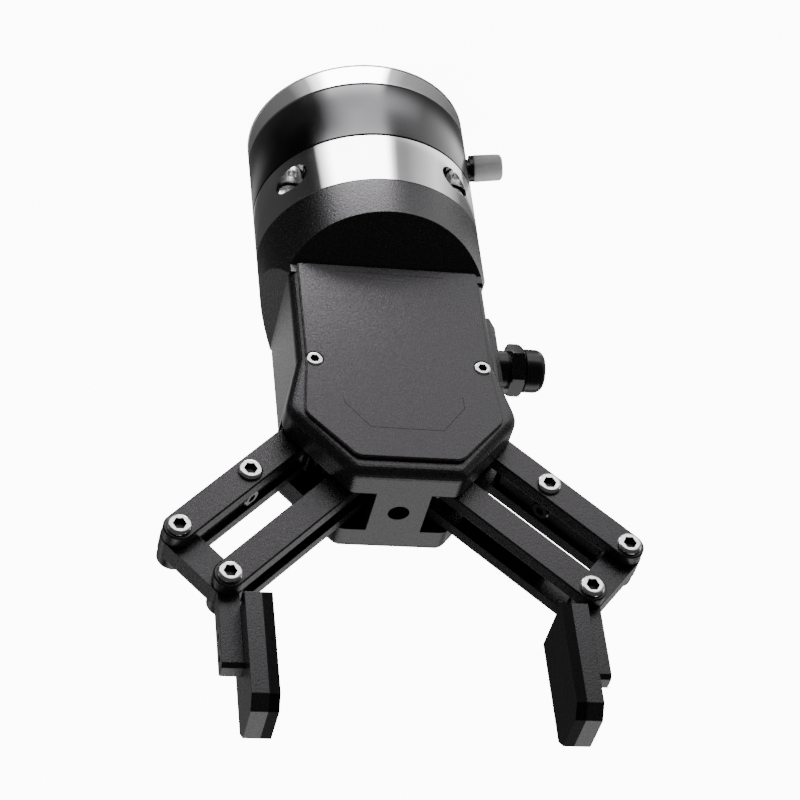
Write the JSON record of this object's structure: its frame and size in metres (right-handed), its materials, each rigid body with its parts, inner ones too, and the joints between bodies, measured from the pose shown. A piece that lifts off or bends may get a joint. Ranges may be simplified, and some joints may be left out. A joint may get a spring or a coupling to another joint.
{
  "type": "electric two finger gripper",
  "caption": "Electric robot gripper whose fingers swing on parallel arms and stay upright, driven by a lead screw with racks and pinions inside a black body on a round bolted flange.",
  "frame": {"origin": "centre of the mounting face on the robot's side", "axes": "+Z from the mounting face to the fingertips, -Y towards the front cover, -X towards the cable gland; the fingers move along X"},
  "size_m": [0.1352, 0.067, 0.214],
  "materials": {
    "bright_plate": "machined, bright",
    "dark_ring": "dark anodised, satin",
    "polished_flange": "turned and polished",
    "black_anodised": "black anodised, fine blasted texture",
    "cover_black": "black anodised plate with a bright cut edge",
    "screw_steel": "stainless, turned",
    "cap_grey": "moulded",
    "collar_black": "black anodised, satin",
    "gland_black": "moulded nylon, glossy",
    "seal_rubber": "moulded",
    "pad_rubber": "moulded, matt",
    "board_green": "circuit board",
    "motor_can": "drawn can",
    "ground_steel": "ground",
    "bronze": "sintered bronze"
  },
  "bodies": {
    "base": {"adapter_plate": "bright_plate", "coupling_ring": "dark_ring", "clamp_flange": "polished_flange", "clamp_screws": "screw_steel", "body_screws": "screw_steel", "connector_base": "collar_black", "connector_cap": "cap_grey", "housing": "black_anodised", "front_cover": "cover_black", "cover_screws": "screw_steel", "control_board": "board_green", "cable_block": "black_anodised", "gland_body": "gland_black", "gland_nut": "gland_black", "gland_seal": "seal_rubber", "motor": "motor_can", "gearbox": "ground_steel", "screw_bearing": "ground_steel", "screw_bush": "bronze", "outer_pivot_pins": "ground_steel", "inner_pivot_pins": "ground_steel", "thrust_washers": "ground_steel"},
    "lead_screw": {"lead_screw": "ground_steel"},
    "crosshead": {"drive_nut": "bronze", "crosshead": "ground_steel"},
    "right_outer_arm": {"right_outer_front_plate": "black_anodised", "right_outer_rear_plate": "black_anodised", "right_arm_spacer": "black_anodised", "right_pinion": "ground_steel", "right_arm_screws": "screw_steel", "right_set_screw": "screw_steel"},
    "right_inner_arm": {"right_inner_arm": "black_anodised", "right_inner_screw": "screw_steel"},
    "right_finger": {"right_finger_base": "black_anodised", "right_finger_bushes": "bronze", "right_fingertip": "black_anodised", "right_finger_pad": "pad_rubber", "right_tip_screws": "screw_steel"},
    "left_outer_arm": {"left_outer_front_plate": "black_anodised", "left_outer_rear_plate": "black_anodised", "left_arm_spacer": "black_anodised", "left_pinion": "ground_steel", "left_arm_screws": "screw_steel", "left_set_screw": "screw_steel"},
    "left_inner_arm": {"left_inner_arm": "black_anodised", "left_inner_screw": "screw_steel"},
    "left_finger": {"left_finger_base": "black_anodised", "left_finger_bushes": "bronze", "left_fingertip": "black_anodised", "left_finger_pad": "pad_rubber", "left_tip_screws": "screw_steel"}
  },
  "joints": [
    {"name": "right_outer_swing", "type": "hinge", "parent": "base", "child": "right_outer_arm", "pos_m": [0.0256, 0, 0.1205], "axis": [0, -1, 0], "range_deg": [-14.8, 48.1]},
    {"name": "right_inner_swing", "type": "hinge", "parent": "base", "child": "right_inner_arm", "pos_m": [0.0127, 0, 0.1353], "axis": [0, -1, 0], "range_deg": [-14.8, 48.1]},
    {"name": "right_finger_turn", "type": "hinge", "parent": "right_outer_arm", "child": "right_finger", "pos_m": [0.06301, 0, 0.15662], "axis": [0, -1, 0], "range_deg": [-48.1, 14.8]},
    {"name": "left_outer_swing", "type": "hinge", "parent": "base", "child": "left_outer_arm", "pos_m": [-0.0256, 0, 0.1205], "axis": [0, 1, 0], "range_deg": [-14.8, 48.1]},
    {"name": "left_inner_swing", "type": "hinge", "parent": "base", "child": "left_inner_arm", "pos_m": [-0.0127, 0, 0.1353], "axis": [0, 1, 0], "range_deg": [-14.8, 48.1]},
    {"name": "left_finger_turn", "type": "hinge", "parent": "left_outer_arm", "child": "left_finger", "pos_m": [-0.06301, 0, 0.15662], "axis": [0, 1, 0], "range_deg": [-48.1, 14.8]},
    {"name": "crosshead_slide", "type": "slide", "parent": "base", "child": "crosshead", "axis": [0, 0, -1], "range_m": [-0.0017, 0.0055]},
    {"name": "lead_screw_turn", "type": "hinge", "parent": "base", "child": "lead_screw", "pos_m": [0, 0, 0.095], "axis": [0, 0, 1], "range_deg": [-76, 246]}
  ],
  "couplings": [
    {"joint": "right_inner_swing", "follows": "right_outer_swing", "ratio": 1},
    {"joint": "right_finger_turn", "follows": "right_outer_swing", "ratio": -1},
    {"joint": "left_outer_swing", "follows": "right_outer_swing", "ratio": 1},
    {"joint": "left_inner_swing", "follows": "right_outer_swing", "ratio": 1},
    {"joint": "left_finger_turn", "follows": "right_outer_swing", "ratio": -1},
    {"joint": "crosshead_slide", "follows": "right_outer_swing", "m_per_rad": 0.0065},
    {"joint": "lead_screw_turn", "follows": "right_outer_swing", "ratio": 5.1051}
  ]
}
